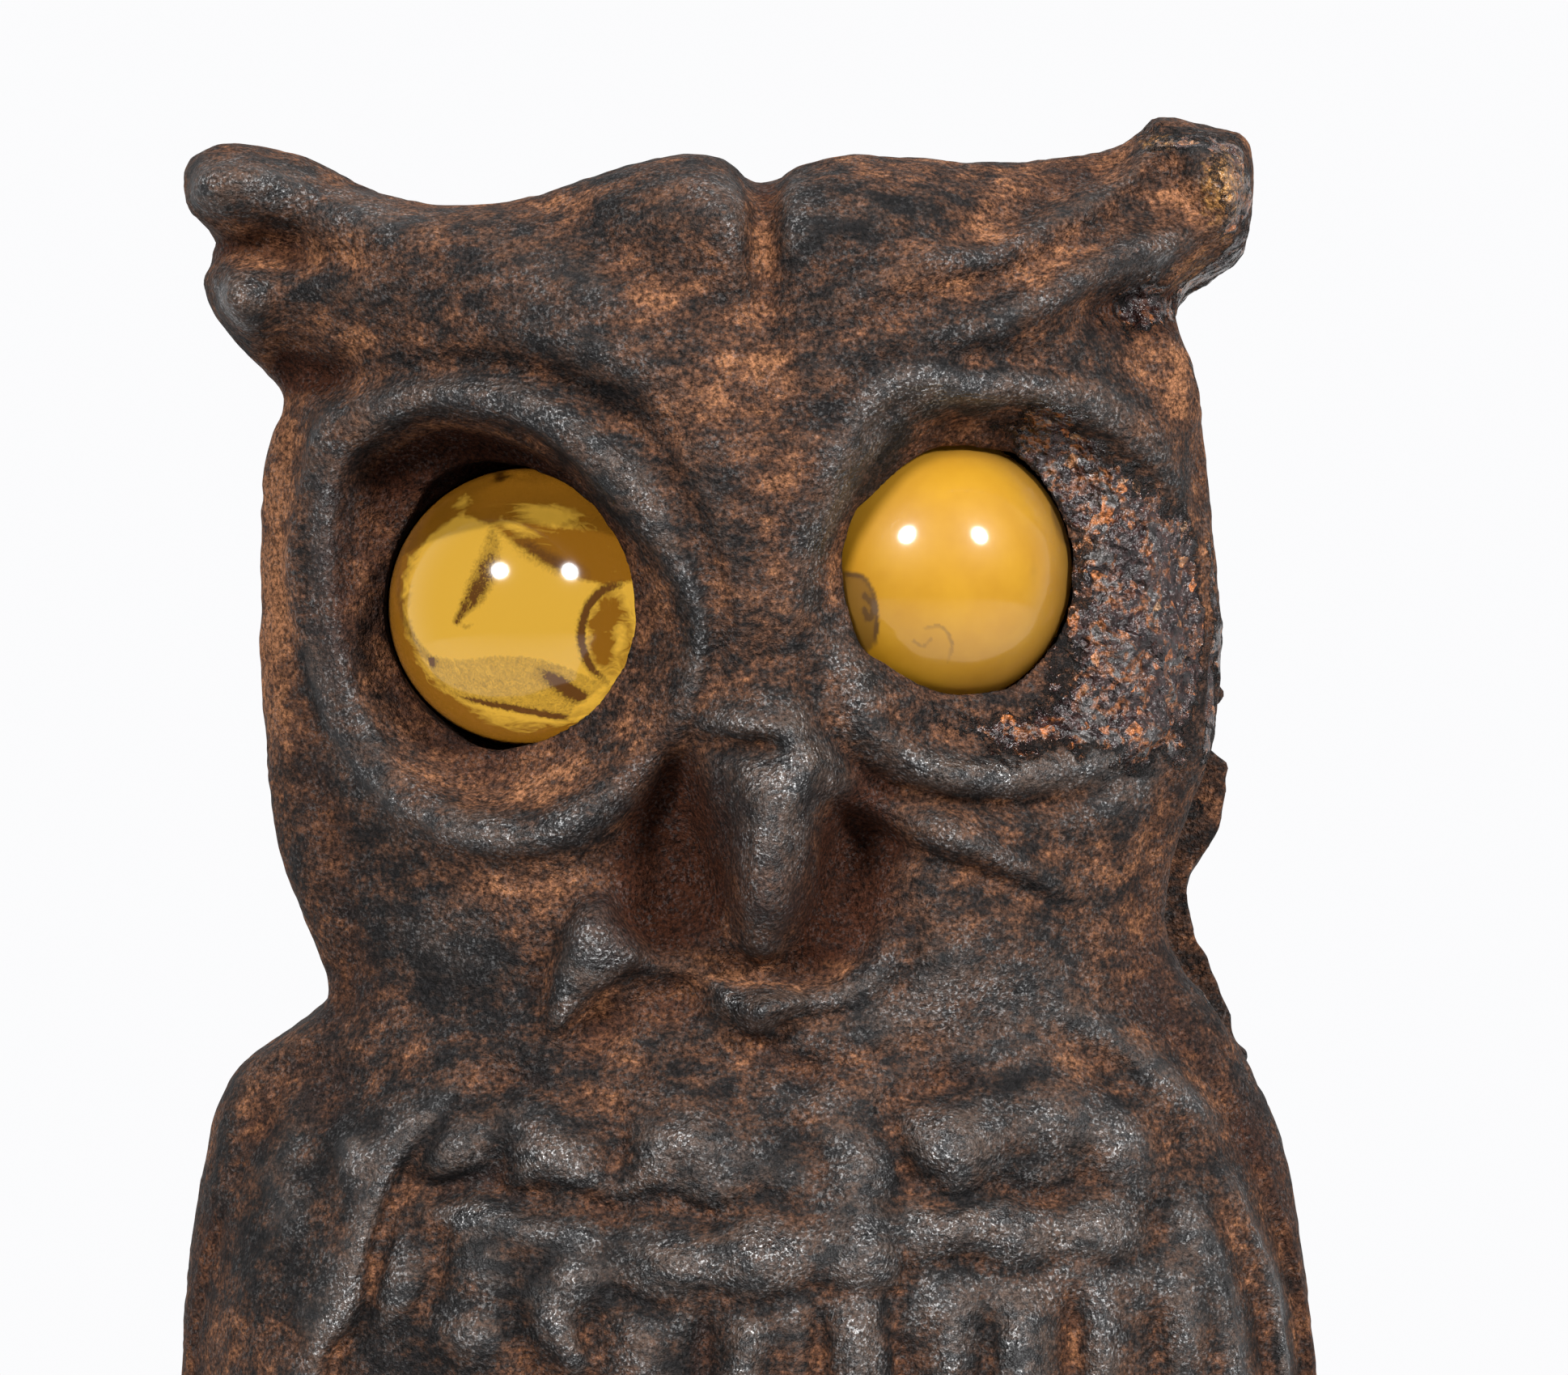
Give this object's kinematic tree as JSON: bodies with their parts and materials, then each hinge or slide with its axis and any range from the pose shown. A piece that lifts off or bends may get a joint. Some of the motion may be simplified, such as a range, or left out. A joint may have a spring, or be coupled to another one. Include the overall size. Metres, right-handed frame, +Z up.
{
  "type": "owl andiron",
  "caption": "Cast-iron owl on a branch with amber glass eyes, held by a rear clamp plate, with a square log bar and riveted foot behind.",
  "frame": {"origin": "on the hearth, under the middle of the whole part's box", "axes": "+Z up, the owl faces -Y, the log bar runs towards +Y, +X is to the right when the owl is seen from the front"},
  "size_m": [0.196, 0.3428, 0.39],
  "materials": {
    "cast_iron": "rough sand-cast iron, dark worn ridges over brown rust",
    "amber_glass": "moulded amber glass, polished dome",
    "packing": "pressed fibre packing, sooty",
    "plate_iron": "rusted sheet iron",
    "bar_iron": "forged bar, fire scale and rust",
    "fastener_iron": "rusted square-head fasteners"
  },
  "bodies": {
    "root": {"owl_casting": "cast_iron", "left_eye": "amber_glass", "right_eye": "amber_glass", "left_eye_gasket": "packing", "right_eye_gasket": "packing", "eye_plate": "plate_iron", "plate_stud": "fastener_iron", "plate_washer": "fastener_iron", "plate_nut": "fastener_iron", "log_bar": "bar_iron", "rear_foot": "bar_iron", "bar_bolts": "fastener_iron", "bar_washers": "fastener_iron"}
  },
  "joints": []
}
